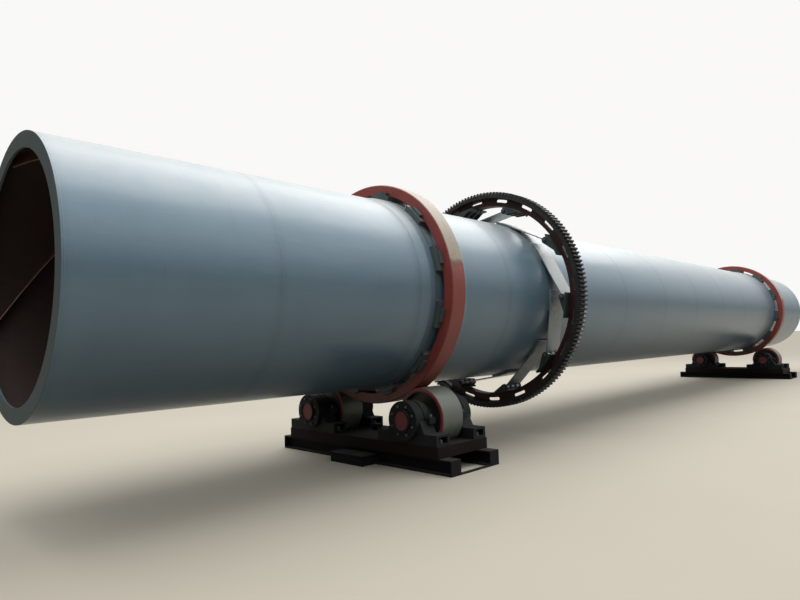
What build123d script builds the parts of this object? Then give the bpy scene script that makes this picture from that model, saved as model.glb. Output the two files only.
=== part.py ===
from build123d import *
import math
import os

os.makedirs("parts", exist_ok=True)

# Rotary drum dryer. Millimetres. X runs along the drum from the feed end to the discharge end,
# Z is up, and the origin is on the floor under the middle of the whole machine.

# Drum shell
drum_length = 22800.0
shell_outer_radius = 1200.0
shell_thickness = 16.0
thick_shell_extra = 16.0
thick_shell_length = 860.0
thick_shell_taper = 150.0
feed_ring_distance = 4066.0
discharge_ring_distance = 3360.0
gear_course_length = 5488.0
middle_course_length = 4416.0
end_ring_depth = 136.0
end_ring_thickness = 20.0

shell_inner_radius = shell_outer_radius - shell_thickness
thick_shell_outer_radius = shell_outer_radius + thick_shell_extra
end_ring_inner_radius = shell_outer_radius - end_ring_depth
feed_end = -drum_length / 2
discharge_end = drum_length / 2
ring_station_feed = feed_end + feed_ring_distance
ring_station_discharge = discharge_end - discharge_ring_distance

# Spiral feed flights inside the feed end
flight_count = 4
flight_height = 100.0
flight_thickness = 10.0
flight_start = 60.0
flight_length = 1140.0
flight_pitch = 4700.0
flight_first_angle = 250.0
flight_root_allowance = 8.0

# Riding rings, their pads and the stop blocks that keep them in place
pad_height = 62.0
pad_count = 12
pad_first_angles = (15.0, 10.0)
pad_arc = 14.0
pad_length = 376.0
riding_ring_depth = 127.0
riding_ring_width = 236.0
riding_ring_edge = 10.0
stop_length = 45.0
stop_arc = 7.0
stop_height = 34.0

riding_ring_inner_radius = thick_shell_outer_radius + pad_height
riding_ring_outer_radius = riding_ring_inner_radius + riding_ring_depth

# Girth gear
gear_distance_from_ring = 2414.0
gear_pitch_line_over_shell = 480.0
gear_module = 20.0
gear_face_width = 200.0
gear_rim_depth = 48.0
gear_web_depth = 120.0
gear_web_thickness = 40.0
gear_flange_depth = 20.0
gear_flange_reach = 150.0
gear_slots_per_half = 10
gear_slot_end_angle = 10.35
gear_slot_arc = 6.2
gear_slot_height = 46.0
gear_slot_from_rim = 37.0
gear_split_angle = 148.5
gear_lug_depth = 56.0
gear_lug_width = 70.0

gear_middle = ring_station_feed + gear_distance_from_ring
gear_teeth = 2 * round((shell_outer_radius + gear_pitch_line_over_shell) / gear_module)
gear_pitch_radius = gear_module * gear_teeth / 2
gear_tip_radius = gear_pitch_radius + gear_module
gear_root_radius = gear_pitch_radius - 1.25 * gear_module
gear_rim_inner_radius = gear_root_radius - gear_rim_depth
gear_flange_inner_radius = gear_rim_inner_radius - gear_web_depth
gear_flange_outer_radius = gear_flange_inner_radius + gear_flange_depth
gear_slot_radius = gear_rim_inner_radius - gear_slot_from_rim
tooth_angle = 360.0 / gear_teeth

# Spring plates between the shell and the gear
spring_plate_count = 10
spring_plate_root_angle = -9.5
spring_plate_thickness = 16.0
spring_plate_near = -115.0
spring_plate_far = 235.0
spring_plate_tail_arc = 11.0
plate_gap_width = 46.0
plate_gap_depth = 74.0
eye_over_shell = 220.0
eye_outer_radius = 36.0
eye_pin_radius = 22.0
pin_clearance = 0.05
shoe_height = 20.0
shoe_root_depth = 40.0
shoe_front = 60.0
shoe_tail_arc = 10.5
shoe_inset = 10.0
bracket_pad_thickness = 24.0
bracket_pad_behind = 2.5
bracket_pad_ahead = 11.5
bracket_foot_behind = 1.0
bracket_foot_ahead = 9.0
bracket_weld_depth = 8.0
bracket_side_gap = 2.0
bracket_cheek_thickness = 20.0
bracket_middle_thickness = 30.0
bracket_cheek_radius = 50.0

shoe_top_distance = shell_outer_radius + shoe_height
plate_middle_distance = shoe_top_distance + spring_plate_thickness / 2
eye_centre_radius = shell_outer_radius + eye_over_shell
eye_run = math.sqrt(eye_centre_radius**2 - plate_middle_distance**2)
eye_turn = math.degrees(math.atan2(eye_run, plate_middle_distance))
bracket_near = spring_plate_near - bracket_side_gap - bracket_cheek_thickness
bracket_far = spring_plate_far + bracket_side_gap + bracket_cheek_thickness
plate_finger = (spring_plate_far - spring_plate_near - 2 * plate_gap_width) / 3
plate_gap_middles = (
    spring_plate_near + plate_finger + plate_gap_width / 2,
    spring_plate_far - plate_finger - plate_gap_width / 2,
)

# Bed plate under each station
frame_height = 170.0
bed_height = 295.0
bed_plate_thickness = 30.0
bed_end_margin = 17.5
bed_half_width = 440.0
bed_wall = 24.0
bed_middle_rib = 300.0
bed_rib_from_roller = 272.5
bed_well_half_length = 246.0
bed_well_half_width = 206.0
bed_block_x = (90.0, 180.0)
bed_block_y = (165.0, 265.0)
bed_block_height = 75.0

# Foundation frame under each bed
frame_stub_length = 170.0
frame_half_width = 430.0
frame_flange_width = 165.0
frame_flange_thickness = 18.0
frame_web_thickness = 14.0
frame_end_plate = 12.0
frame_tie_positions = (-1010.0, -340.0, 340.0, 1010.0)
frame_tie_thickness = 20.0
floor_bar_width = 40.0
floor_bar_height = 16.0
anchor_hole_radius = 16.0
anchor_hole_from_bed = 85.0
anchor_hole_along = 392.0
side_box_reach = 650.0
side_box_y = (-360.0, 250.0)
side_box_height = 120.0
side_box_wall = 12.0

# Rollers and shafts
station_offset = 25.0
roller_axis_over_bed = 261.0
roller_radius = 350.0
roller_width = 360.0
roller_edge = 8.0
roller_side_angle = 30.0
roller_gap = 0.3
roller_rim_depth = 54.0
roller_hub_radius = 165.0
roller_recess_depth = 60.0
shaft_seat_radius = 110.0
shaft_collar_radius = 128.0
shaft_collar_end = 205.0
shaft_journal_radius = 80.0
journal_clearance = 0.05
shaft_end = 482.0

roller_rim_inner_radius = roller_radius - roller_rim_depth
roller_centre_distance = riding_ring_outer_radius + roller_radius
roller_side = roller_centre_distance * math.sin(math.radians(roller_side_angle))
roller_axis_height = bed_height + roller_axis_over_bed
drum_axis_height = roller_axis_height + roller_centre_distance * math.cos(math.radians(roller_side_angle))

# Bearing housings
housing_near = 225.0
housing_step = 262.0
housing_far = 488.0
housing_radius = 222.0
housing_neck_radius = 200.0
housing_groove_start = 350.0
housing_groove_width = 16.0
housing_groove_depth = 12.0
housing_foot_near = 215.0
housing_foot_far = 440.0
housing_foot_half_length = 465.0
housing_foot_thickness = 125.0
housing_waist_half_width = 290.0
housing_ear_near = 240.0
housing_ear_far = 338.0
housing_ear_half_width = 286.0
housing_ear_thickness = 34.0
foot_pocket_inset = 40.0
foot_pocket_length = 92.0
foot_pocket_floor = 28.0
foot_pocket_roof = 24.0
cover_ring_radius = 126.0
cover_disc_radius = 108.0
cover_ring_thickness = 30.0
cover_disc_thickness = 20.0

bed_half_length = roller_side + housing_foot_half_length + bed_end_margin
bed_rib_positions = (
    0.0,
    bed_middle_rib,
    roller_side - bed_rib_from_roller,
    roller_side + bed_rib_from_roller,
    bed_half_length - bed_wall / 2,
)
frame_half_length = bed_half_length + frame_stub_length
anchor_hole_across = bed_half_length + anchor_hole_from_bed


def across(x, y=0.0, z=drum_axis_height):
    """The plane that crosses the machine at x, seen from the discharge end, with its centre at y and z."""
    return Plane(origin=(x, y, z), x_dir=(0, 1, 0), z_dir=(1, 0, 0))


def polar(angle, radius):
    """A point of a crossing plane, its angle counted in degrees from the top towards the front side."""
    a = math.radians(angle)
    return (-radius * math.sin(a), radius * math.cos(a))


def save(node, *solids):
    """Write the solids of one named piece into its own STEP file."""
    shape = solids[0] if len(solids) == 1 else Compound(children=list(solids))
    export_step(shape, "parts/" + node + ".step")


def single(shape):
    """The one solid of a shape."""
    return shape.solids()[0]


def tube(start, end, inner, outer):
    """A round tube on the drum's axis."""
    return single(extrude(across(start) * (Circle(outer) - Circle(inner)), end - start))


def turned(profile, x, y, z):
    """A solid of revolution about a line along X; the profile gives distances along X and radii."""
    lengthwise = Plane(origin=(x, y, z), x_dir=(1, 0, 0), z_dir=(0, -1, 0))
    return single(revolve(lengthwise * make_face(profile), Axis((x, y, z), (1, 0, 0))))


def sector(inner, outer, from_angle, to_angle):
    """A piece of a flat ring between two angles."""
    middle = (from_angle + to_angle) / 2
    edges = [
        Line(polar(from_angle, inner), polar(from_angle, outer)),
        ThreePointArc(polar(from_angle, outer), polar(middle, outer), polar(to_angle, outer)),
        Line(polar(to_angle, outer), polar(to_angle, inner)),
        ThreePointArc(polar(to_angle, inner), polar(middle, inner), polar(from_angle, inner)),
    ]
    return make_face(edges)


def block(x0, x1, y0, y1, z0, z1):
    """A square-edged block between two corners."""
    return Pos((x0 + x1) / 2, (y0 + y1) / 2, (z0 + z1) / 2) * Box(x1 - x0, y1 - y0, z1 - z0)


def every(count, first):
    """Evenly spaced angles round the drum."""
    return [first + 360.0 * k / count for k in range(count)]


# Shell courses, each butted to the next
def shell_course(start, end):
    return tube(start, end, shell_inner_radius, shell_outer_radius)


def thick_course(x):
    """The thicker course under a riding ring, tapered down to the plain shell at both ends."""
    half = thick_shell_length / 2
    flat = half - thick_shell_taper
    profile = Polyline(
        (-half, shell_inner_radius),
        (-half, shell_outer_radius),
        (-flat, thick_shell_outer_radius),
        (flat, thick_shell_outer_radius),
        (half, shell_outer_radius),
        (half, shell_inner_radius),
        close=True,
    )
    return turned(profile, x, 0.0, drum_axis_height)


thick_half = thick_shell_length / 2
gear_course_start = ring_station_feed + thick_half
gear_course_end = gear_course_start + gear_course_length
middle_course_end = gear_course_end + middle_course_length
save("shell_feed", shell_course(feed_end + end_ring_thickness, ring_station_feed - thick_half))
save("shell_under_feed_ring", thick_course(ring_station_feed))
save("shell_under_gear", shell_course(gear_course_start, gear_course_end))
save("shell_middle", shell_course(gear_course_end, middle_course_end))
save("shell_rear", shell_course(middle_course_end, ring_station_discharge - thick_half))
save("shell_under_discharge_ring", thick_course(ring_station_discharge))
save("shell_discharge", shell_course(ring_station_discharge + thick_half, discharge_end - end_ring_thickness))

save(
    "end_ring_feed",
    tube(feed_end, feed_end + end_ring_thickness, end_ring_inner_radius, shell_outer_radius),
)
save(
    "end_ring_discharge",
    tube(discharge_end - end_ring_thickness, discharge_end, end_ring_inner_radius, shell_outer_radius),
)


# Spiral feed flights: each is a standing strip that turns round the drum as it runs inward
def flight(first_angle):
    steps = 12
    full_turn = 360.0 * flight_length / flight_pitch
    half = math.degrees(flight_thickness / 2 / shell_inner_radius)
    root = shell_inner_radius + flight_root_allowance
    edge = shell_inner_radius - flight_height
    sections = []
    for k in range(steps + 1):
        share = k / steps
        angle = first_angle + full_turn * share
        corners = [
            polar(angle - half, root),
            polar(angle + half, root),
            polar(angle + half, edge),
            polar(angle - half, edge),
        ]
        x = feed_end + flight_start + flight_length * share
        sections.append(across(x) * make_face(Polyline(*corners, close=True)))
    bore = extrude(across(feed_end) * Circle(shell_inner_radius), flight_length + 2 * flight_start)
    return single(loft(sections, ruled=True) & bore)


save("feed_flights", *[flight(a) for a in every(flight_count, flight_first_angle)])


# Riding rings
def riding_ring(x):
    half = riding_ring_width / 2
    ring = tube(x - half, x + half, riding_ring_inner_radius, riding_ring_outer_radius)
    rims = [e for e in ring.edges().filter_by(GeomType.CIRCLE) if e.radius > riding_ring_outer_radius - 1]
    return single(chamfer(rims, riding_ring_edge))


def ring_pads(x, first_angle):
    pad_half = pad_arc / 2
    pads = []
    for a in every(pad_count, first_angle):
        face = sector(thick_shell_outer_radius, riding_ring_inner_radius, a - pad_half, a + pad_half)
        pads.append(single(extrude(across(x - pad_length / 2) * face, pad_length)))
    return pads


def ring_stops(x, first_angle):
    stop_half = stop_arc / 2
    top = riding_ring_inner_radius + stop_height
    stops = []
    for a in every(pad_count, first_angle):
        face = sector(riding_ring_inner_radius, top, a - stop_half, a + stop_half)
        for start in (x - riding_ring_width / 2 - stop_length, x + riding_ring_width / 2):
            stops.append(single(extrude(across(start) * face, stop_length)))
    return stops


for name, x, first_angle in (
    ("feed", ring_station_feed, pad_first_angles[0]),
    ("discharge", ring_station_discharge, pad_first_angles[1]),
):
    save("riding_ring_" + name, riding_ring(x))
    save("riding_ring_pads_" + name, *ring_pads(x, first_angle))
    save("riding_ring_stops_" + name, *ring_stops(x, first_angle))


# Girth gear: two halves with a slotted web, bolted through lugs behind the web
def tooth_points(middle):
    """The outline of one tooth with straight-lined flanks, from its root on one side to the other."""
    half_root = 0.40 * tooth_angle
    half_pitch = 0.25 * tooth_angle
    half_tip = 0.13 * tooth_angle
    return [
        polar(middle - half_root, gear_root_radius),
        polar(middle - half_pitch, gear_pitch_radius),
        polar(middle - half_tip, gear_tip_radius),
        polar(middle + half_tip, gear_tip_radius),
        polar(middle + half_pitch, gear_pitch_radius),
        polar(middle + half_root, gear_root_radius),
    ]


def gear_half(first_angle):
    last_angle = first_angle + 180.0
    middle = first_angle + 90.0
    outline = [polar(first_angle, gear_root_radius)]
    for k in range(gear_teeth // 2):
        outline += tooth_points(first_angle + tooth_angle * (k + 0.5))
    outline.append(polar(last_angle, gear_root_radius))
    rim_face = make_face(
        [
            Polyline(*outline),
            Line(polar(last_angle, gear_root_radius), polar(last_angle, gear_rim_inner_radius)),
            ThreePointArc(
                polar(last_angle, gear_rim_inner_radius),
                polar(middle, gear_rim_inner_radius),
                polar(first_angle, gear_rim_inner_radius),
            ),
            Line(polar(first_angle, gear_rim_inner_radius), polar(first_angle, gear_root_radius)),
        ]
    )
    rim = extrude(across(gear_middle - gear_face_width / 2) * rim_face, gear_face_width)
    web_face = sector(gear_flange_outer_radius - 2, gear_rim_inner_radius + 2, first_angle, last_angle)
    slot_half = gear_slot_arc / 2
    slot_step = (180.0 - 2 * gear_slot_end_angle) / (gear_slots_per_half - 1)
    for k in range(gear_slots_per_half):
        a = first_angle + gear_slot_end_angle + slot_step * k
        slot_arc = ThreePointArc(
            polar(a - slot_half, gear_slot_radius),
            polar(a, gear_slot_radius),
            polar(a + slot_half, gear_slot_radius),
        )
        web_face -= SlotArc(slot_arc, gear_slot_height)
    web_start = gear_middle - gear_web_thickness / 2
    web = extrude(across(web_start) * web_face, gear_web_thickness)
    flange_face = sector(gear_flange_inner_radius, gear_flange_outer_radius, first_angle, last_angle)
    flange = extrude(across(web_start) * flange_face, gear_middle + gear_flange_reach - web_start)
    half = rim + web + flange
    lug_arc = math.degrees(gear_lug_width / gear_slot_radius)
    lug_low = gear_flange_outer_radius - 1
    lug_high = gear_rim_inner_radius + 1
    for a0, a1 in ((first_angle, first_angle + lug_arc), (last_angle - lug_arc, last_angle)):
        lug_face = sector(lug_low, lug_high, a0, a1)
        half += extrude(across(gear_middle + gear_web_thickness / 2) * lug_face, gear_lug_depth)
    return single(half)


save("girth_gear_lower_half", gear_half(gear_split_angle))
save("girth_gear_upper_half", gear_half(gear_split_angle - 180.0))

# Spring plates: each hugs the shell at its tail, leaves it along a tangent and ends in an eye under the gear
def tangent(root_angle, x):
    """A crossing plane turned so that its own x runs along the plate, outward from the tangent point."""
    a = math.radians(root_angle)
    return Plane(
        origin=(x, 0, drum_axis_height),
        x_dir=(0, -math.cos(a), -math.sin(a)),
        z_dir=(-1, 0, 0),
    )


def along_plate(root_angle, face, near, far):
    """A face of the tangent plane made as wide as from near to far, both counted from the gear's middle."""
    return extrude(tangent(root_angle, gear_middle + far) * face, far - near)


def spring_plate(root_angle):
    eye_middle = Pos(eye_run, plate_middle_distance)
    strip = Pos(eye_run / 2, plate_middle_distance) * Rectangle(eye_run + 2, spring_plate_thickness)
    tail = sector(shoe_top_distance, shoe_top_distance + spring_plate_thickness, 0, spring_plate_tail_arc)
    eye = eye_middle * Circle(eye_outer_radius)
    hole = eye_middle * Circle(eye_pin_radius + pin_clearance)
    plate = along_plate(root_angle, strip + tail + eye - hole, spring_plate_near, spring_plate_far)
    gap_reach = eye_outer_radius + 1
    gap_face = Pos(eye_run + (gap_reach - plate_gap_depth) / 2, plate_middle_distance) * Rectangle(
        gap_reach + plate_gap_depth, 2 * gap_reach
    )
    for middle in plate_gap_middles:
        plate -= along_plate(root_angle, gap_face, middle - plate_gap_width / 2, middle + plate_gap_width / 2)
    return single(plate)


def spring_shoe(root_angle):
    face = Pos(shoe_front / 2, shoe_top_distance - shoe_root_depth / 2) * Rectangle(
        shoe_front + 2, shoe_root_depth
    )
    face -= Circle(shell_outer_radius)
    face += sector(shell_outer_radius, shoe_top_distance, 0, shoe_tail_arc)
    return single(along_plate(root_angle, face, spring_plate_near + shoe_inset, spring_plate_far - shoe_inset))


def eye_pin(root_angle):
    centre = polar(root_angle + eye_turn, eye_centre_radius)
    face = Pos(*centre) * Circle(eye_pin_radius)
    return single(extrude(across(gear_middle + bracket_near) * face, bracket_far - bracket_near))


def eye_bracket(root_angle):
    eye_angle = root_angle + eye_turn
    pad_inner = gear_flange_inner_radius - bracket_pad_thickness
    pad_face = sector(
        pad_inner, gear_flange_inner_radius, eye_angle - bracket_pad_behind, eye_angle + bracket_pad_ahead
    )
    bracket = extrude(across(gear_middle + bracket_near) * pad_face, bracket_far - bracket_near)
    centre = polar(eye_angle, eye_centre_radius)
    foot = pad_inner + bracket_weld_depth
    cheek_face = make_hull(
        [
            Line(polar(eye_angle - bracket_foot_behind, foot), polar(eye_angle + bracket_foot_ahead, foot)),
            (Pos(*centre) * Circle(bracket_cheek_radius)).edges()[0],
        ]
    )
    cheek_face -= Pos(*centre) * Circle(eye_pin_radius)
    cheeks = [(middle, bracket_middle_thickness) for middle in plate_gap_middles]
    cheeks.append((bracket_near + bracket_cheek_thickness / 2, bracket_cheek_thickness))
    cheeks.append((bracket_far - bracket_cheek_thickness / 2, bracket_cheek_thickness))
    for middle, thickness in cheeks:
        bracket += extrude(across(gear_middle + middle - thickness / 2) * cheek_face, thickness)
    return single(bracket)


root_angles = every(spring_plate_count, spring_plate_root_angle)
save("gear_spring_plates", *[spring_plate(a) for a in root_angles])
save("gear_spring_shoes", *[spring_shoe(a) for a in root_angles])
save("gear_spring_brackets", *[eye_bracket(a) for a in root_angles])
save("gear_spring_pins", *[eye_pin(a) for a in root_angles])


# Trunnion rollers and their shafts
def trunnion_roller(x, y):
    half = roller_width / 2
    outer = roller_radius - roller_gap
    body = extrude(across(x - half, y, roller_axis_height) * Circle(outer), roller_width)
    body = chamfer(body.edges().filter_by(GeomType.CIRCLE), roller_edge)
    hollow = Circle(roller_rim_inner_radius) - Circle(roller_hub_radius)
    for start in (x - half, x + half - roller_recess_depth):
        body -= extrude(across(start, y, roller_axis_height) * hollow, roller_recess_depth)
    body -= extrude(across(x - half, y, roller_axis_height) * Circle(shaft_seat_radius), roller_width)
    return single(body)


def roller_shaft(x, y):
    half = roller_width / 2
    profile = Polyline(
        (-shaft_end, 0),
        (-shaft_end, shaft_journal_radius),
        (-shaft_collar_end, shaft_journal_radius),
        (-shaft_collar_end, shaft_collar_radius),
        (-half, shaft_collar_radius),
        (-half, shaft_seat_radius),
        (half, shaft_seat_radius),
        (half, shaft_collar_radius),
        (shaft_collar_end, shaft_collar_radius),
        (shaft_collar_end, shaft_journal_radius),
        (shaft_end, shaft_journal_radius),
        (shaft_end, 0),
        close=True,
    )
    return turned(profile, x, y, roller_axis_height)


# Bearing housings, split at the shaft's height
def housing_body(x, y, outward):
    """The whole housing before it is split; outward is -1 for the feed side of the roller and 1 for the other."""

    def slab(near, far, face):
        start = x + (near if outward > 0 else -far)
        return extrude(across(start, y, roller_axis_height) * face, far - near)

    foot_top = housing_foot_thickness - roller_axis_over_bed
    foot_bottom = -roller_axis_over_bed
    waist = make_face(
        Polyline(
            (-housing_waist_half_width, foot_top - 1),
            (housing_waist_half_width, foot_top - 1),
            (housing_radius, 0),
            (-housing_radius, 0),
            close=True,
        )
    )
    foot = Pos(0, (foot_top + foot_bottom) / 2) * Rectangle(
        2 * housing_foot_half_length, housing_foot_thickness
    )
    ears = Rectangle(2 * housing_ear_half_width, 2 * housing_ear_thickness)
    groove_end = housing_groove_start + housing_groove_width
    body = slab(housing_foot_near, housing_foot_far, foot)
    body += slab(housing_ear_near, housing_foot_far, waist)
    body += slab(housing_ear_near, housing_ear_far, ears)
    body += slab(housing_near, housing_far, Circle(housing_neck_radius))
    body += slab(housing_step, housing_groove_start, Circle(housing_radius))
    body += slab(housing_groove_start - 1, groove_end + 1, Circle(housing_radius - housing_groove_depth))
    body += slab(groove_end, housing_far, Circle(housing_radius))
    pocket_bottom = foot_bottom + foot_pocket_floor
    pocket_height = housing_foot_thickness - foot_pocket_floor - foot_pocket_roof
    for side in (-1, 1):
        pocket = Pos(side * housing_foot_half_length, pocket_bottom + pocket_height / 2) * Rectangle(
            2 * foot_pocket_length, pocket_height
        )
        body -= slab(housing_foot_near + foot_pocket_inset, housing_foot_far - foot_pocket_inset, pocket)
    body -= slab(housing_near, housing_far, Circle(shaft_journal_radius + journal_clearance))
    return body


def lower_space():
    reach = frame_half_length * 2
    return block(feed_end, discharge_end, -reach, reach, 0, roller_axis_height)


def housing_halves(x, y, outward):
    body = housing_body(x, y, outward)
    below = lower_space()
    return single(body & below), single(body - below)


def cover(x, y, outward, inner, outer, thickness):
    start = x + housing_far if outward > 0 else x - housing_far - thickness
    face = Circle(outer) if inner == 0 else Circle(outer) - Circle(inner)
    return single(extrude(across(start, y, roller_axis_height) * face, thickness))


# Bed: a plate on two long walls and cross ribs, with a well under each roller
def bed(x, with_block):
    under = bed_height - bed_plate_thickness
    body = block(x - bed_half_width, x + bed_half_width, -bed_half_length, bed_half_length, under, bed_height)
    wall_offset = bed_half_width - bed_wall
    for side in (-1, 1):
        x0, x1 = sorted((x + side * bed_half_width, x + side * wall_offset))
        body += block(x0, x1, -bed_half_length, bed_half_length, frame_height, under + 1)
    for y in sorted({side * rib for side in (-1, 1) for rib in bed_rib_positions}):
        y0 = y - bed_wall / 2
        body += block(x - wall_offset - 1, x + wall_offset + 1, y0, y0 + bed_wall, frame_height, under + 1)
    for side in (-1, 1):
        y = side * roller_side
        body -= block(
            x - bed_well_half_width, x + bed_well_half_width,
            y - bed_well_half_length, y + bed_well_half_length, under - 1, bed_height + 1,
        )
    if with_block:
        body += block(
            x + bed_block_x[0], x + bed_block_x[1], *bed_block_y, bed_height - 1, bed_height + bed_block_height
        )
    return single(body)


# Foundation frame: two rolled beams with closed ends, ties between them and a bar on the floor at each end
def side_box(x, beam_middle):
    """The low box against the feed side of the frame, open towards the floor."""
    top = side_box_height - side_box_wall
    y0, y1 = side_box_y
    near = x - side_box_reach
    cover_plate = block(near, beam_middle, y0, y1, top, side_box_height)
    walls = block(near + side_box_wall, beam_middle, y0 + side_box_wall, y1 - side_box_wall, 0, top + 1)
    space = block(
        near + 2 * side_box_wall, beam_middle - side_box_wall,
        y0 + 2 * side_box_wall, y1 - 2 * side_box_wall, -1, top,
    )
    return cover_plate + (walls - space)


def foundation_frame(x, with_side_box):
    inner = frame_half_width - frame_flange_width
    beam_middle = frame_half_width - frame_flange_width / 2
    half_web = frame_web_thickness / 2
    upper_flange = frame_height - frame_flange_thickness
    end_plate = frame_half_length - frame_end_plate
    body = Part()
    for side in (-1, 1):
        x0, x1 = sorted((x + side * inner, x + side * frame_half_width))
        for z in (0, upper_flange):
            body += block(
                x0, x1, -frame_half_length, frame_half_length, z, z + frame_flange_thickness
            )
        middle = x + side * beam_middle
        body += block(
            middle - half_web, middle + half_web, -frame_half_length, frame_half_length,
            frame_flange_thickness - 1, upper_flange + 1,
        )
        for y0, y1 in ((-frame_half_length, -end_plate), (end_plate, frame_half_length)):
            body += block(x0, x1, y0, y1, 0, frame_height)
    for y in frame_tie_positions:
        y0 = y - frame_tie_thickness / 2
        body += block(x - beam_middle, x + beam_middle, y0, y0 + frame_tie_thickness, 0, upper_flange + 1)
    bar_start = frame_half_length - floor_bar_width
    for y0, y1 in ((-frame_half_length, -bar_start), (bar_start, frame_half_length)):
        body += block(x - inner - 1, x + inner + 1, y0, y1, 0, floor_bar_height)
    if with_side_box:
        body += side_box(x, x - beam_middle)
    for across_hole in (-anchor_hole_along, anchor_hole_along):
        for y in (-anchor_hole_across, anchor_hole_across):
            body -= Pos(x + across_hole, y, frame_flange_thickness / 2) * Cylinder(
                anchor_hole_radius, frame_flange_thickness + 2
            )
    return single(body)


for name, ring_x in (("feed", ring_station_feed), ("discharge", ring_station_discharge)):
    x = ring_x + station_offset
    for side_name, side in (("front", -1), ("back", 1)):
        y = side * roller_side
        save("trunnion_roller_" + name + "_" + side_name, trunnion_roller(x, y))
        save("roller_shaft_" + name + "_" + side_name, roller_shaft(x, y))
    pairs = [(side * roller_side, outward) for side in (-1, 1) for outward in (-1, 1)]
    halves = [housing_halves(x, y, outward) for y, outward in pairs]
    save("bearing_housings_" + name, *[h[0] for h in halves])
    save("bearing_caps_" + name, *[h[1] for h in halves])
    save(
        "bearing_cover_rings_" + name,
        *[cover(x, y, o, cover_disc_radius, cover_ring_radius, cover_ring_thickness) for y, o in pairs],
    )
    save(
        "bearing_cover_discs_" + name,
        *[cover(x, y, o, 0, cover_disc_radius, cover_disc_thickness) for y, o in pairs],
    )
    save("roller_bed_" + name, bed(x, name == "feed"))
    save("foundation_frame_" + name, foundation_frame(x, name == "feed"))
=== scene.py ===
import bpy
import bmesh
import math
from mathutils import Matrix, Vector


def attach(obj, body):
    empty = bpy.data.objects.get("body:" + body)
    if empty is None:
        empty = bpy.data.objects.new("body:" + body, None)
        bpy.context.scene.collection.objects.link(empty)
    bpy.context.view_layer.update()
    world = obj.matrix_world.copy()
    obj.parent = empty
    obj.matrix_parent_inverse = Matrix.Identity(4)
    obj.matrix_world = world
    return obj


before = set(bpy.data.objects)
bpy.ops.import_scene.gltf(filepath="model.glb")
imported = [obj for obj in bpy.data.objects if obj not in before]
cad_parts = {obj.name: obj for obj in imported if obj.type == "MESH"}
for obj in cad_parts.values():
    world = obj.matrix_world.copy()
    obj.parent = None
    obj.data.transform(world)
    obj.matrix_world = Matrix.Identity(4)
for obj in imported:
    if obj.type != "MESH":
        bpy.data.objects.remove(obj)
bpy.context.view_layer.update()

# Lengths in metres, for the CAD pieces the same as in the CAD model, and angles in degrees
# Drum shell
AXIS_HEIGHT = 2.075875
FEED_END = -11.4
DISCHARGE_END = 11.4
SHELL_RADIUS = 1.2
COURSE_LENGTH = 1.8
END_RING_THICKNESS = 0.020
FLIGHT_EDGE_RADIUS = 1.084
THICK_SHELL_RADIUS = 1.216
THICK_SHELL_HALF_LENGTH = 0.43
SEAM_CLEARANCE = 0.1

# Riding rings and their pads, with the heights over the floor between which the rings are painted darker
# towards the bottom as painted shade
RING_CENTRES = {"feed": -7.334, "discharge": 8.04}
RING_RADIUS = 1.405
RING_SHADE_HEIGHTS = (1.3, 0.7)
PAD_COUNT = 12
PAD_FIRST_ANGLES = {"feed": 15.0, "discharge": 10.0}
PAD_ARC = 14.0
PAD_HALF_LENGTH = 0.188

# Girth gear
GEAR_CENTRE = -4.92
GEAR_TIP_RADIUS = 1.7
GEAR_ROOT_RADIUS = 1.655
GEAR_RIM_INSIDE = 1.607
GEAR_FLANGE_OUTSIDE = 1.507
GEAR_SPLIT = 148.5
GEAR_LUG_MIDDLE = 0.048
SPLIT_BOLT_ARC = 2.547
SPLIT_BOLT_RADII = (1.535, 1.579)

# Spring plates and their brackets, along the drum counted from the middle of the gear
PLATE_COUNT = 10
PLATE_ROOT_ANGLE = -9.5
PLATE_TAIL_ARC = 11.0
PLATE_NEAR = -0.115
PLATE_FAR = 0.235
PLATE_WELD_INSET = 0.012
SHOE_TAIL_SETBACK = 0.5
SHOE_TOP_RADIUS = 1.22
EYE_FIRST_ANGLE = 20.64
EYE_RADIUS = 1.42
BRACKET_INSIDE = 1.463
BRACKET_NEAR = -0.137
BRACKET_FAR = 0.257
BRACKET_BOLT_ARC = 10.2
BRACKET_BOLT_PLACES = (0.045, 0.125)

# Roller stations, each piece counted from the middle of its roller
STATIONS = {"feed": -7.309, "discharge": 8.065}
ROLLER_SIDE = 0.8775
ROLLER_HEIGHT = 0.556
ROLLER_RADIUS = 0.35
ROLLER_RIM_INSIDE = 0.296
BED_TOP = 0.295
FOOT_MIDDLE = 0.3275
FOOT_BOLT_SIDE = 0.42
FOOT_POCKET_FLOOR = 0.028
EAR_MIDDLE = 0.289
EAR_BOLT_SIDE = 0.254
EAR_THICKNESS = 0.034
HOUSING_FAR = 0.488
COVER_BOLT_COUNT = 8
COVER_BOLT_RADIUS = 0.168
COVER_DISC_THICKNESS = 0.020

# Hexagon, neck and head of a grease fitting: start and length, radius at both ends, number of sides
FITTING_STUBS = (
    (-0.002, 0.016, 0.026, 0.026, 6),
    (0.014, 0.030, 0.016, 0.012, 16),
    (0.044, 0.014, 0.018, 0.018, 16),
)

# Camera as fitted to the photo, its place in drum radii from the middle of the feed end
CAMERA_FROM_FEED_END = (-1.0581, -4.7226, -0.5041)
CAMERA_YAW = 45.613
CAMERA_PITCH = 3.842
CAMERA_ROLL = -1.687
FOCAL_LENGTH_PIXELS = 595.68
PICTURE_WIDTH_PIXELS = 800.0
SENSOR_WIDTH = 36.0


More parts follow.
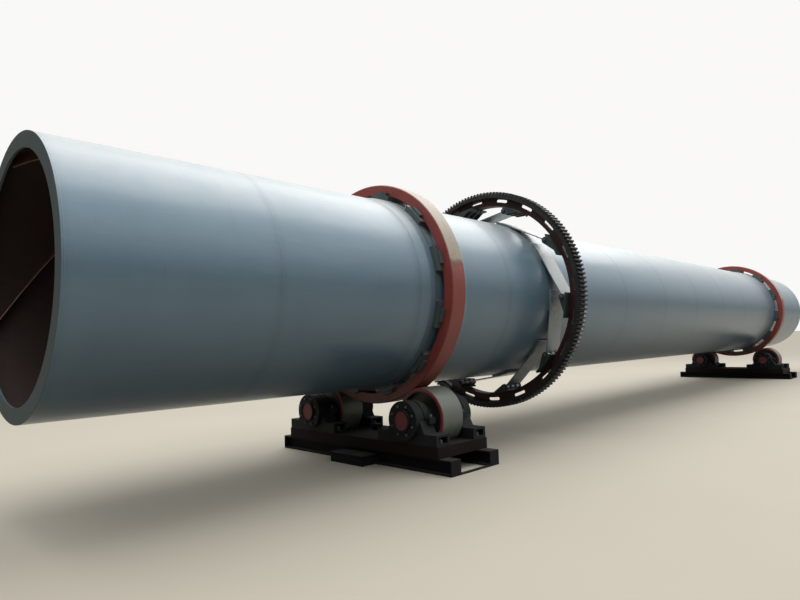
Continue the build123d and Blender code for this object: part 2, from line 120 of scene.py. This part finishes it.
# Shader trees, whose numbers can be reckoned with like Python's
class Value:
    """One number of a shader tree, which other numbers can be added to, multiplied with and so on."""

    def __init__(self, tree, socket):
        self.tree = tree
        self.socket = socket

    def __add__(self, other):
        return self.tree.maths("ADD", self, other)

    __radd__ = __add__

    def __sub__(self, other):
        return self.tree.maths("SUBTRACT", self, other)

    def __rsub__(self, other):
        return self.tree.maths("SUBTRACT", other, self)

    def __mul__(self, other):
        return self.tree.maths("MULTIPLY", self, other)

    __rmul__ = __mul__

    def __truediv__(self, other):
        return self.tree.maths("DIVIDE", self, other)

    def __abs__(self):
        return self.tree.maths("ABSOLUTE", self)

    def root(self):
        return self.tree.maths("SQRT", self)

    def fraction(self):
        return self.tree.maths("FRACT", self)

    def above(self, limit, soft):
        """0 below the limit and 1 above it, with a soft step between."""
        return self.tree.spread(self, limit - soft, limit + soft)

    def below(self, limit, soft):
        """1 below the limit and 0 above it, with a soft step between."""
        return 1.0 - self.above(limit, soft)


class Tree:
    """The shader tree of a material or of the surroundings."""

    def __init__(self, tree):
        self.tree = tree

    def node(self, kind, settings=(), inputs=()):
        """Any node: its type, its settings and what goes into its sockets."""
        made = self.tree.nodes.new(kind)
        for key, value in dict(settings).items():
            setattr(made, key, value)
        for key, value in dict(inputs).items():
            self.feed(made.inputs[key], value)
        return made

    def feed(self, socket, value):
        """A link, a colour or a number into a socket."""
        if isinstance(value, Value):
            self.tree.links.new(value.socket, socket)
        elif isinstance(value, bpy.types.NodeSocket):
            self.tree.links.new(value, socket)
        elif isinstance(value, tuple) and socket.type == "RGBA":
            socket.default_value = (*value, 1.0)
        else:
            socket.default_value = value

    def maths(self, operation, *values):
        made = self.node("ShaderNodeMath", {"operation": operation}, dict(enumerate(values)))
        return Value(self, made.outputs[0])

    def spread(self, value, low, high, to_low=0.0, to_high=1.0):
        """A number moved from one range into another, held at its ends."""
        ranges = {"Value": value, "From Min": low, "From Max": high, "To Min": to_low, "To Max": to_high}
        made = self.node("ShaderNodeMapRange", {"clamp": True}, ranges)
        return Value(self, made.outputs["Result"])

    def parts(self, vector):
        """The three numbers of a vector."""
        made = self.node("ShaderNodeSeparateXYZ", inputs={"Vector": vector})
        return [Value(self, made.outputs[axis]) for axis in "XYZ"]


class Paint(Tree):
    """One material: a Principled shader, and the coordinates of the object that wears it."""

    def __init__(self, name):
        self.material = bpy.data.materials.new(name)
        self.material.use_nodes = True
        super().__init__(self.material.node_tree)
        self.shader = self.tree.nodes["Principled BSDF"]
        coordinates = self.node("ShaderNodeTexCoord")
        self.place = coordinates.outputs["Object"]
        self.x, self.y, self.z = self.parts(self.place)
        self.normal = coordinates.outputs["Normal"]

    def clouds(self, size, detail=4.0, rough=0.55, stretch=(1.0, 1.0, 1.0)):
        """Soft noise from 0 to 1 with patches of this size in metres, longer where the stretch is below 1."""
        place = self.node("ShaderNodeVectorMath", {"operation": "MULTIPLY"}, {0: self.place, 1: stretch})
        noise = {"Vector": place.outputs["Vector"], "Scale": 1.0 / size, "Detail": detail, "Roughness": rough}
        made = self.node("ShaderNodeTexNoise", inputs=noise)
        return Value(self, made.outputs["Fac"])

    def mix(self, share, first, second):
        """A colour between two others."""
        made = self.node("ShaderNodeMix", {"data_type": "RGBA"}, {"Factor": share, 6: first, 7: second})
        return made.outputs[2]

    def around(self, y=0.0, z=AXIS_HEIGHT):
        """The distance from a line along the drum at y and z."""
        return ((self.y - y) * (self.y - y) + (self.z - z) * (self.z - z)).root()

    def finish(self, colour, roughness, bump, height, metallic=0.0, coat=0.0, coat_roughness=0.2):
        """The material with its colour, its sheen and a bump of this height in metres."""
        self.feed(self.shader.inputs["Base Color"], colour)
        self.feed(self.shader.inputs["Roughness"], roughness)
        self.feed(self.shader.inputs["Metallic"], metallic)
        self.feed(self.shader.inputs["Coat Weight"], coat)
        self.shader.inputs["Coat Roughness"].default_value = coat_roughness
        made = self.node("ShaderNodeBump", inputs={"Strength": 1.0, "Distance": height, "Height": bump})
        self.feed(self.shader.inputs["Normal"], made.outputs["Normal"])
        return self.material


# Materials of the drum
def shell_paint():
    """Blue-grey paint with weld seams, drips, lighter streaks of painted reflection, dust that is partly a
    painted highlight on the top, darker grey-green on the end faces as painted shade, and dark red inside.
    """
    paint = Paint("shell blue-grey paint")
    from_ends = paint.maths("MINIMUM", paint.x - FEED_END, DISCHARGE_END - paint.x)
    between_ends = from_ends.above(END_RING_THICKNESS + 0.001, 0.0005)
    inside = paint.around().below(SHELL_RADIUS - 0.010, 0.002) * between_ends
    end_face = from_ends.below(0.002, 0.001)
    patches = paint.clouds(0.9, 5.0, 0.6)
    # lighter streaks along the drum: painted reflection bands
    reflection_streaks = paint.clouds(0.06, 4.0, 0.6, (0.10, 1.0, 1.0))
    colour = paint.mix(paint.spread(patches, 0.35, 0.7), (0.106, 0.176, 0.230), (0.126, 0.202, 0.256))
    colour = paint.mix(reflection_streaks.above(0.60, 0.10) * 0.30, colour, (0.150, 0.205, 0.240))
    # dust on the top of the drum, lightened beyond dust as a painted highlight
    dust = paint.clouds(0.45, 6.0, 0.65) * paint.spread(paint.z, AXIS_HEIGHT + 0.45, AXIS_HEIGHT + 1.1)
    colour = paint.mix(dust * 0.9, colour, (0.38, 0.36, 0.315))
    from_seam = abs(((paint.x - FEED_END) / COURSE_LENGTH + 0.5).fraction() - 0.5) * COURSE_LENGTH
    scorched = from_seam.below(0.05, 0.03) * paint.clouds(0.04, 3.0)
    colour = paint.mix(scorched * 0.4, colour, (0.060, 0.095, 0.118))
    drips = paint.clouds(0.03, 2.0, 0.5, (1.0, 0.08, 0.08)).above(0.68, 0.05)
    drips = drips * paint.clouds(0.8).above(0.5, 0.1)
    colour = paint.mix(drips * 0.25, colour, (0.075, 0.100, 0.115))
    scratches = paint.clouds(0.02, 2.0, 0.4, (0.06, 1.0, 1.0)).above(0.74, 0.02)
    colour = paint.mix(scratches * 0.4, colour, (0.22, 0.25, 0.26))
    # end faces in a grey-green tone, darkened as painted shade
    end_face_shade_colour = paint.mix(patches, (0.028, 0.048, 0.050), (0.042, 0.066, 0.068))
    colour = paint.mix(end_face, colour, end_face_shade_colour)
    rust = paint.clouds(0.15, 6.0, 0.7).above(0.5, 0.2)
    primer = paint.mix(rust, (0.022, 0.010, 0.008), (0.042, 0.018, 0.014))
    primer = paint.mix(paint.clouds(0.02).above(0.6, 0.1) * 0.5, primer, (0.020, 0.012, 0.010))
    colour = paint.mix(inside, colour, primer)
    outside = (1.0 - inside) * (1.0 - end_face)
    roughness = 0.60 - 0.34 * outside + 0.08 * patches + 0.06 * reflection_streaks + 0.15 * dust
    ripple = paint.clouds(0.5, 2.0, 0.5, (0.35, 1.0, 1.0)) * 2.0 + paint.clouds(0.012, 3.0, 0.7) * 0.05
    return paint.finish(colour, roughness, ripple, 0.004, 0.15 * outside, 0.25 * outside, 0.22)


def flight_primer():
    """Dull red-brown primer of the feed flights, lighter along their inner edge as a painted highlight."""
    paint = Paint("feed flight primer")
    rust = paint.clouds(0.12, 6.0, 0.7)
    colour = paint.mix(rust.above(0.5, 0.2), (0.055, 0.020, 0.015), (0.100, 0.040, 0.030))
    colour = paint.mix(paint.clouds(0.015).above(0.62, 0.08) * 0.5, colour, (0.03, 0.016, 0.012))
    # a light line along the flights' inner edge: painted highlight
    edge = paint.around().below(FLIGHT_EDGE_RADIUS + 0.006, 0.003)
    edge_highlight = paint.mix(rust, (0.42, 0.24, 0.20), (0.60, 0.40, 0.34))
    colour = paint.mix(edge, colour, edge_highlight)
    return paint.finish(colour, 0.55 + 0.3 * rust, paint.clouds(0.01, 4.0), 0.001)


def ring_paint():
    """A riding ring: red sides, and a tread worn to tan steel where the paint has gone."""
    paint = Paint("riding ring red paint")
    radius = paint.around()
    tread = radius.above(RING_RADIUS - 0.0025, 0.001)
    patches = paint.clouds(0.25, 5.0, 0.6)
    red = paint.mix(patches.above(0.5, 0.25), (0.200, 0.030, 0.024), (0.270, 0.050, 0.038))
    red = paint.mix(paint.clouds(0.03, 5.0, 0.7).above(0.60, 0.08) * 0.5, red, (0.10, 0.030, 0.024))
    # red sides darkened towards the bottom: painted shade
    red = paint.mix(paint.spread(paint.z, *RING_SHADE_HEIGHTS) * 0.6, red, (0.060, 0.020, 0.017))
    bare = paint.mix(paint.clouds(0.2, 4.0, 0.6, (4.0, 1.0, 1.0)), (0.24, 0.20, 0.145), (0.36, 0.33, 0.26))
    rust_lines = paint.clouds(0.02, 3.0, 0.6, (0.3, 1.0, 1.0)).above(0.6, 0.1)
    bare = paint.mix(rust_lines * 0.4, bare, (0.24, 0.13, 0.09))
    ragged_height = paint.z + 0.16 * paint.clouds(0.10, 6.0, 0.75)
    gone = ragged_height.above(AXIS_HEIGHT + 0.36, 0.035)
    torn_edge = ragged_height.above(AXIS_HEIGHT + 0.33, 0.02) * (1.0 - gone)
    tread_colour = paint.mix(torn_edge * 0.8, paint.mix(gone, red, bare), (0.07, 0.025, 0.020))
    colour = paint.mix(tread, red, tread_colour)
    turned = (radius * 260.0).fraction() * (1.0 - tread) + (paint.x * 300.0).fraction() * tread
    roughness = 0.36 + 0.22 * patches + 0.08 * tread * gone
    return paint.finish(colour, roughness, turned * 0.12 + paint.clouds(0.01) * 0.6, 0.0012, 0.0, 0.12, 0.3)


def gear_paint():
    """Oily dark teeth on a dark rim, with a red-brown web."""
    paint = Paint("girth gear paint")
    radius = paint.around()
    web = radius.below(GEAR_RIM_INSIDE - 0.002, 0.004)
    patches = paint.clouds(0.22, 5.0, 0.6)
    dark = paint.mix(patches.above(0.5, 0.2), (0.009, 0.010, 0.010), (0.020, 0.021, 0.022))
    grease = paint.clouds(0.06, 4.0, 0.7).above(0.55, 0.12) * radius.above(GEAR_ROOT_RADIUS - 0.005, 0.01)
    dark = paint.mix(grease * 0.6, dark, (0.005, 0.005, 0.006))
    tips = radius.above(GEAR_TIP_RADIUS - 0.004, 0.003)
    dark = paint.mix(tips * paint.clouds(0.05).above(0.45, 0.15), dark, (0.050, 0.054, 0.054))
    red = paint.mix(paint.clouds(0.15, 5.0).above(0.5, 0.25), (0.024, 0.007, 0.007), (0.046, 0.012, 0.011))
    red = paint.mix(paint.clouds(0.03, 4.0).above(0.58, 0.1) * 0.55, red, (0.016, 0.011, 0.011))
    colour = paint.mix(web, dark, red)
    paint.shader.inputs["Specular IOR Level"].default_value = 0.3
    roughness = 0.42 + 0.25 * patches - 0.15 * grease
    return paint.finish(colour, roughness, paint.clouds(0.012, 4.0), 0.0012)


# Materials of the roller stations, and those that several pieces share
def dull_paint(name, first, second, patch_size=0.2, roughness=0.42, dusty=0.35, coat=0.0, shine=0.5):
    """Workshop paint with grime, scuffs and dust where it looks up."""
    paint = Paint(name)
    patches = paint.clouds(patch_size, 5.0, 0.6)
    colour = paint.mix(patches.above(0.5, 0.25), first, second)
    scuffs = paint.clouds(0.02, 5.0, 0.7).above(0.64, 0.05)
    colour = paint.mix(scuffs * 0.4, colour, tuple(min(1.0, 2.0 * part + 0.01) for part in second))
    upward = paint.parts(paint.normal)[2]
    dust = upward.above(0.6, 0.3) * paint.clouds(0.12, 5.0, 0.65).above(0.42, 0.2)
    colour = paint.mix(dust * dusty, colour, (0.20, 0.185, 0.16))
    paint.shader.inputs["Specular IOR Level"].default_value = shine
    bump = paint.clouds(0.008, 4.0) + scuffs * 0.4
    return paint.finish(colour, roughness + 0.2 * patches + 0.2 * dust, bump, 0.001, 0.0, coat, 0.3)


def roller_paint(name, y):
    """A trunnion roller: bare turned rim, red rim sides and a dark hollow."""
    paint = Paint(name)
    radius = paint.around(y, ROLLER_HEIGHT)
    tread = radius.above(ROLLER_RADIUS - 0.0035, 0.001)
    rim_side = radius.above(ROLLER_RIM_INSIDE + 0.016, 0.002) * (1.0 - tread)
    patches = paint.clouds(0.1, 5.0, 0.6)
    bare = paint.mix(patches, (0.100, 0.116, 0.102), (0.155, 0.172, 0.152))
    stains = paint.clouds(0.05, 4.0, 0.6, (4.0, 1.0, 1.0)).above(0.58, 0.1)
    bare = paint.mix(stains * 0.5, bare, (0.15, 0.135, 0.105))
    red = paint.mix(patches.above(0.5, 0.2), (0.20, 0.022, 0.026), (0.30, 0.045, 0.042))
    dark = paint.mix(patches.above(0.5, 0.2), (0.012, 0.012, 0.012), (0.028, 0.025, 0.023))
    colour = paint.mix(rim_side, dark, red)
    colour = paint.mix(tread, colour, bare)
    turned = (paint.x * 260.0).fraction() * tread
    bump = turned * 0.15 + paint.clouds(0.01) * 0.5
    return paint.finish(colour, 0.38 + 0.2 * patches, bump, 0.001, 0.25 * tread)


def bare_steel():
    """Machined steel with turning marks."""
    paint = Paint("machined steel")
    patches = paint.clouds(0.05, 5.0, 0.6)
    colour = paint.mix(patches, (0.20, 0.20, 0.19), (0.34, 0.34, 0.32))
    turned = paint.clouds(0.003, 2.0, 0.5, (6.0, 1.0, 1.0))
    return paint.finish(colour, 0.28 + 0.25 * patches, turned, 0.0004, 0.85)


def cover_paint():
    """Red paint of the bearing covers, flaked dark here and there."""
    paint = Paint("bearing cover red paint")
    patches = paint.clouds(0.04, 5.0, 0.6)
    colour = paint.mix(patches.above(0.5, 0.2), (0.110, 0.016, 0.020), (0.180, 0.032, 0.034))
    colour = paint.mix(paint.clouds(0.012, 4.0).above(0.62, 0.08) * 0.6, colour, (0.035, 0.012, 0.012))
    return paint.finish(colour, 0.45 + 0.2 * patches, paint.clouds(0.006, 4.0), 0.0006)


def fitting_brass():
    """Tarnished brass of the grease fittings."""
    paint = Paint("grease fitting brass")
    patches = paint.clouds(0.02, 4.0, 0.6)
    colour = paint.mix(patches, (0.34, 0.33, 0.08), (0.50, 0.44, 0.14))
    return paint.finish(colour, 0.35 + 0.2 * patches, paint.clouds(0.004), 0.0004, 0.6)


def floor_paint():
    """A pale floor to the camera and in reflections, which throws less light back up under the drum."""
    paint = Paint("pale floor")
    colour = paint.mix(paint.clouds(3.0, 4.0), (0.345, 0.318, 0.262), (0.380, 0.352, 0.292))
    rays = paint.node("ShaderNodeLightPath").outputs
    seen = paint.maths("MAXIMUM", Value(paint, rays["Is Camera Ray"]), Value(paint, rays["Is Glossy Ray"]))
    seen = paint.maths("MAXIMUM", seen, Value(paint, rays["Is Transmission Ray"]))
    colour = paint.mix(seen, (0.11, 0.10, 0.085), colour)
    return paint.finish(colour, 0.9, paint.clouds(0.05, 4.0), 0.0008)


shell = shell_paint()
pad_grey = dull_paint("pad grey-green paint", (0.040, 0.056, 0.060), (0.072, 0.094, 0.096))
bracket_green = dull_paint(
    "spring bracket dark green paint", (0.020, 0.031, 0.030), (0.042, 0.058, 0.056), shine=0.3
)
plate_grey = dull_paint(
    "spring plate grey paint", (0.130, 0.164, 0.180), (0.195, 0.232, 0.246),
    patch_size=0.4, roughness=0.18, dusty=0.15, coat=0.8,
)
# The housing, bed and frame paints are dark paint darkened further to stand in for the drum's shadow over the
# stations: painted shade
housing_dark_and_shade = dull_paint(
    "bearing housing dark paint with painted shade", (0.007, 0.009, 0.010), (0.016, 0.018, 0.019),
    patch_size=0.15, roughness=0.5, dusty=0.08, shine=0.15,
)
bed_dark_and_shade = dull_paint(
    "bed dark red-brown paint with painted shade", (0.007, 0.004, 0.004), (0.013, 0.008, 0.008),
    patch_size=0.3, roughness=0.6, dusty=0.06, shine=0.12,
)
frame_dark_and_shade = dull_paint(
    "frame dark paint with painted shade", (0.007, 0.006, 0.007), (0.014, 0.013, 0.015),
    patch_size=0.3, roughness=0.55, dusty=0.14, shine=0.12,
)
bolt_steel = dull_paint(
    "bolt dark steel", (0.040, 0.044, 0.046), (0.080, 0.084, 0.084), patch_size=0.03, roughness=0.35
)
gear_bolt_steel = dull_paint(
    "gear bolt dark steel", (0.030, 0.032, 0.034), (0.060, 0.062, 0.062), patch_size=0.03, roughness=0.35
)
steel = bare_steel()
brass = fitting_brass()
roller_front = roller_paint("trunnion roller front", -ROLLER_SIDE)
roller_back = roller_paint("trunnion roller back", ROLLER_SIDE)

# What each CAD node wears, by the start of its name; the first that fits counts
WORN_BY = (
    (("shell_", "end_ring"), shell),
    (("feed_flights",), flight_primer()),
    (("riding_ring_pads", "riding_ring_stops"), pad_grey),
    (("riding_ring_feed", "riding_ring_discharge"), ring_paint()),
    (("girth_gear",), gear_paint()),
    (("gear_spring_brackets",), bracket_green),
    (("gear_spring_pins", "roller_shaft"), steel),
    (("gear_spring_plates", "gear_spring_shoes"), plate_grey),
    (("trunnion_roller_feed_front", "trunnion_roller_discharge_front"), roller_front),
    (("trunnion_roller_feed_back", "trunnion_roller_discharge_back"), roller_back),
    (("bearing_cover_discs",), cover_paint()),
    (("bearing_housings", "bearing_caps", "bearing_cover_rings"), housing_dark_and_shade),
    (("roller_bed",), bed_dark_and_shade),
    (("foundation_frame",), frame_dark_and_shade),
)
for node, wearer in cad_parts.items():
    material = next(worn for starts, worn in WORN_BY if node.startswith(starts))
    if not wearer.data.materials:
        wearer.data.materials.append(material)
    for k in range(len(wearer.data.materials)):
        wearer.data.materials[k] = material


# New pieces
def piece(name, form, material, body):
    """A finished mesh as a piece that rides on a body."""
    bmesh.ops.recalc_face_normals(form, faces=form.faces)
    mesh = bpy.data.meshes.new(name)
    form.to_mesh(mesh)
    form.free()
    for face in mesh.polygons:
        face.use_smooth = True
    made = bpy.data.objects.new(name, mesh)
    bpy.context.scene.collection.objects.link(made)
    mesh.materials.append(material)
    mesh.set_sharp_from_angle(angle=math.radians(35))
    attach(made, body)


def polar(angle, radius, x):
    """A point about the drum's axis, its angle counted from the top towards the front."""
    turn = math.radians(angle)
    return Vector((x, -radius * math.sin(turn), AXIS_HEIGHT + radius * math.cos(turn)))


def outward(angle):
    """The direction away from the drum's axis at this angle."""
    return polar(angle, 1.0, 0.0) - polar(angle, 0.0, 0.0)


def along(direction, origin):
    """The placing that stands +Z along a direction at a point."""
    turn = Vector(direction).to_track_quat("Z", "Y").to_matrix().to_4x4()
    return Matrix.Translation(origin) @ turn


def cone(form, place, start, length, low, high, segments):
    """A round or many-sided stub on the placing's own axis."""
    return bmesh.ops.create_cone(
        form, cap_ends=True, segments=segments, radius1=low, radius2=high, depth=length,
        matrix=place @ Matrix.Translation((0, 0, start + length / 2)),
    )["verts"]


def add_bolt(form, place, across, stud):
    """A hexagon head or nut on a washer, with the end of a stud if it has one."""
    washer = across * 0.10
    washer_radius = across * 0.62
    height = across * 0.62
    corner_radius = across * 0.577
    cone(form, place, 0.0, washer, washer_radius, washer_radius, 20)
    head = cone(form, place, washer, height, corner_radius, corner_radius, 6)
    edges = list({edge for corner in head for edge in corner.link_edges})
    bmesh.ops.bevel(
        form, geom=edges, offset=across * 0.045, segments=1, affect="EDGES", profile=0.5, material=-1,
        clamp_overlap=True,
    )
    if stud:
        cone(form, place, washer + height - 0.002, stud, across * 0.31, across * 0.27, 14)


def bolts(name, places, body, across, stud=0.0, material=bolt_steel, slot="housing_paint"):
    """Equal bolts as one piece, given their width across the flats and how far a stud stands out."""
    form = bmesh.new()
    for place in places:
        add_bolt(form, place, across, stud)
    piece(name, form, material, body)


def spun(form, profile, x, steps, angle=2 * math.pi):
    """A closed profile turned about the drum's axis, its ends closed if it doesn't go all the way round."""
    corners = [form.verts.new(point) for point in profile]
    edges = [form.edges.new(ends) for ends in zip(corners, corners[1:] + corners[:1])]
    made = bmesh.ops.spin(
        form, geom=corners + edges, cent=(x, 0, AXIS_HEIGHT), axis=(1, 0, 0), dvec=(0, 0, 0), angle=angle,
        steps=steps, use_merge=angle >= 2 * math.pi, use_duplicate=False,
    )
    if angle < 2 * math.pi:
        last = [edge for edge in made["geom_last"] if isinstance(edge, bmesh.types.BMEdge)]
        bmesh.ops.contextual_create(form, geom=edges)
        bmesh.ops.contextual_create(form, geom=last)


def bead_profile(x, radius, width, height, angle=0.0):
    """A weld bead's half round, standing on a round surface of this radius and sunk into it by 1 mm."""
    return [
        polar(angle, radius - 0.001 + height * math.sin(turn), x - width / 2 * math.cos(turn))
        for turn in (math.pi * k / 4 for k in range(5))
    ]


def weld_ring(form, x, width, height):
    """A weld bead all round the shell."""
    spun(form, bead_profile(x, SHELL_RADIUS, width, height), x, steps=120)


def weld_rod(form, angle, from_axis, near, far, radius):
    """A straight weld bead along the drum, at an angle and a distance from its axis."""
    start = polar(angle, from_axis, near)
    run = polar(angle, from_axis, far) - start
    cone(form, along(run, start), 0.0, run.length, radius, radius, 8)


# Weld seams between the shell's courses, at both ends of its thick stretches and at the end rings
form = bmesh.new()
for k in range(1, round((DISCHARGE_END - FEED_END) / COURSE_LENGTH)):
    x = FEED_END + COURSE_LENGTH * k
    if all(abs(x - centre) > THICK_SHELL_HALF_LENGTH + SEAM_CLEARANCE for centre in RING_CENTRES.values()):
        weld_ring(form, x, width=0.012, height=0.002)
for centre in RING_CENTRES.values():
    for side in (-1, 1):
        weld_ring(form, centre + side * THICK_SHELL_HALF_LENGTH, width=0.016, height=0.003)
for x in (FEED_END + END_RING_THICKNESS, DISCHARGE_END - END_RING_THICKNESS):
    weld_ring(form, x, width=0.010, height=0.002)
piece("shell_weld_seams", form, shell, "drum")

# Weld beads round the pads, where they stand on the shell
for station, centre in RING_CENTRES.items():
    form = bmesh.new()
    near, far = centre - PAD_HALF_LENGTH, centre + PAD_HALF_LENGTH
    for k in range(PAD_COUNT):
        first = PAD_FIRST_ANGLES[station] + 360.0 / PAD_COUNT * k - PAD_ARC / 2
        last = first + PAD_ARC
        for x in (near, far):
            bead = bead_profile(x, THICK_SHELL_RADIUS, width=0.018, height=0.010, angle=last)
            spun(form, bead, x, steps=8, angle=math.radians(PAD_ARC))
        for angle in (first, last):
            weld_rod(form, angle, THICK_SHELL_RADIUS, near, far, radius=0.009)
    piece("pad_weld_beads_" + station, form, pad_grey, "drum")

# Bolts and grease fittings of the roller stations
for station, centre in STATIONS.items():
    foot_places, cap_places, cover_places, fitting_places = [], [], [], []
    for side in (-1, 1):
        y = side * ROLLER_SIDE
        fitting_x = centre + HOUSING_FAR + COVER_DISC_THICKNESS
        fitting_places.append(along((1, 0, 0), (fitting_x, y, ROLLER_HEIGHT)))
        for end in (-1, 1):
            foot_x = centre + end * FOOT_MIDDLE
            ear_x = centre + end * EAR_MIDDLE
            cover_x = centre + end * HOUSING_FAR
            for off in (-1, 1):
                foot = (foot_x, y + off * FOOT_BOLT_SIDE, BED_TOP + FOOT_POCKET_FLOOR)
                ear = (ear_x, y + off * EAR_BOLT_SIDE, ROLLER_HEIGHT + EAR_THICKNESS)
                foot_places.append(along((0, 0, 1), foot))
                cap_places.append(along((0, 0, 1), ear))
            for k in range(COVER_BOLT_COUNT):
                turn = 2 * math.pi * (k + 0.5) / COVER_BOLT_COUNT
                cover_y = y + COVER_BOLT_RADIUS * math.cos(turn)
                cover_z = ROLLER_HEIGHT + COVER_BOLT_RADIUS * math.sin(turn)
                cover_places.append(along((end, 0, 0), (cover_x, cover_y, cover_z)))
    bolts("housing_foot_bolts_" + station, foot_places, "roller_stations", across=0.046, stud=0.018)
    bolts("bearing_cap_bolts_" + station, cap_places, "roller_stations", across=0.036, stud=0.014)
    bolts("bearing_cover_bolts_" + station, cover_places, "roller_stations", across=0.024)
    form = bmesh.new()
    for place in fitting_places:
        for stub in FITTING_STUBS:
            cone(form, place, *stub)
    piece("bearing_grease_fittings_" + station, form, brass, "roller_stations")

# Bolts of the girth gear
bracket_places, pin_places, split_places = [], [], []
for k in range(PLATE_COUNT):
    eye = EYE_FIRST_ANGLE + 360.0 / PLATE_COUNT * k
    bolt_angle = eye + BRACKET_BOLT_ARC
    for x in BRACKET_BOLT_PLACES:
        head = polar(bolt_angle, BRACKET_INSIDE, GEAR_CENTRE + x)
        nut = polar(bolt_angle, GEAR_FLANGE_OUTSIDE, GEAR_CENTRE + x)
        bracket_places.append(along(-outward(bolt_angle), head))
        bracket_places.append(along(outward(bolt_angle), nut))
    for side, x in ((-1, BRACKET_NEAR), (1, BRACKET_FAR)):
        pin_places.append(along((side, 0, 0), polar(eye, EYE_RADIUS, GEAR_CENTRE + x)))
for split in (GEAR_SPLIT, GEAR_SPLIT + 180.0):
    for side in (-1, 1):
        angle = split + side * SPLIT_BOLT_ARC
        for radius in SPLIT_BOLT_RADII:
            bolt = polar(angle, radius, GEAR_CENTRE + GEAR_LUG_MIDDLE)
            split_places.append(along(side * outward(angle + 90.0), bolt))
gear_bolts = {"body": "drum", "material": gear_bolt_steel, "slot": "gear_paint"}
bolts("spring_bracket_bolts", bracket_places, across=0.030, stud=0.010, **gear_bolts)
bolts("spring_pin_end_caps", pin_places, across=0.040, **gear_bolts)
bolts("gear_split_bolts", split_places, across=0.036, stud=0.012, **gear_bolts)

# Weld beads at the tails of the spring plates: of each plate on its shoe, and of the shoe on the shell
form = bmesh.new()
near = GEAR_CENTRE + PLATE_NEAR + PLATE_WELD_INSET
far = GEAR_CENTRE + PLATE_FAR - PLATE_WELD_INSET
for k in range(PLATE_COUNT):
    tail = PLATE_ROOT_ANGLE + 360.0 / PLATE_COUNT * k - PLATE_TAIL_ARC
    weld_rod(form, tail, SHOE_TOP_RADIUS + 0.002, near, far, radius=0.007)
    weld_rod(form, tail + SHOE_TAIL_SETBACK, SHELL_RADIUS + 0.004, near, far, radius=0.007)
piece("spring_plate_welds", form, plate_grey, "drum")

# Floor
form = bmesh.new()
bmesh.ops.create_grid(form, x_segments=1, y_segments=1, size=400.0)
mesh = bpy.data.meshes.new("floor")
form.to_mesh(mesh)
form.free()
mesh.materials.append(floor_paint())
floor = bpy.data.objects.new("floor", mesh)
bpy.context.scene.collection.objects.link(floor)

# Light: a sky that is brightest overhead and seen as plain white, and one long softbox over the drum
world = bpy.data.worlds.new("studio")
world.use_nodes = True
bpy.context.scene.world = world
sky = Tree(world.node_tree)
towards_x, _, upward = sky.parts(sky.node("ShaderNodeTexCoord").outputs["Generated"])
light = sky.spread(upward + 0.15 * towards_x, 0.08, 0.72, 0.03, 1.58) * (1.05 + 0.15 * towards_x)
seen = Value(sky, sky.node("ShaderNodeLightPath").outputs["Is Camera Ray"])
backdrop = sky.node("ShaderNodeMix", inputs={"Factor": seen, 2: light, 3: 0.95})
background = world.node_tree.nodes["Background"]
sky.feed(background.inputs["Strength"], backdrop.outputs[0])
background.inputs["Color"].default_value = (1.0, 0.995, 0.985, 1.0)

softbox = bpy.data.lights.new("overhead softbox", "AREA")
softbox.shape = "RECTANGLE"
softbox.size = 32
softbox.size_y = 10
softbox.energy = 1920
lamp = bpy.data.objects.new("overhead softbox", softbox)
lamp.location = (2, 0.6, 12)
lamp.rotation_euler = (Vector((2, 0, 1)) - lamp.location).to_track_quat("-Z", "Y").to_euler()
bpy.context.scene.collection.objects.link(lamp)

# Camera
yaw, pitch, roll = (math.radians(angle) for angle in (CAMERA_YAW, CAMERA_PITCH, CAMERA_ROLL))
ahead = Vector((math.sin(yaw) * math.cos(pitch), math.cos(yaw) * math.cos(pitch), math.sin(pitch)))
level_right = ahead.cross(Vector((0, 0, 1))).normalized()
level_up = level_right.cross(ahead)
right = level_right * math.cos(roll) + level_up * math.sin(roll)
up = level_up * math.cos(roll) - level_right * math.sin(roll)
placing = Matrix((right, up, -ahead)).transposed().to_4x4()
feed_middle = (FEED_END, 0.0, AXIS_HEIGHT)
placing.translation = [
    middle + SHELL_RADIUS * away for middle, away in zip(feed_middle, CAMERA_FROM_FEED_END)
]
camera_data = bpy.data.cameras.new("camera")
camera_data.sensor_width = SENSOR_WIDTH
camera_data.lens = SENSOR_WIDTH * FOCAL_LENGTH_PIXELS / PICTURE_WIDTH_PIXELS
camera_data.clip_end = 500.0
camera = bpy.data.objects.new("camera", camera_data)
camera.matrix_world = placing
bpy.context.scene.collection.objects.link(camera)
bpy.context.scene.camera = camera
bpy.context.scene.view_settings.view_transform = "Standard"
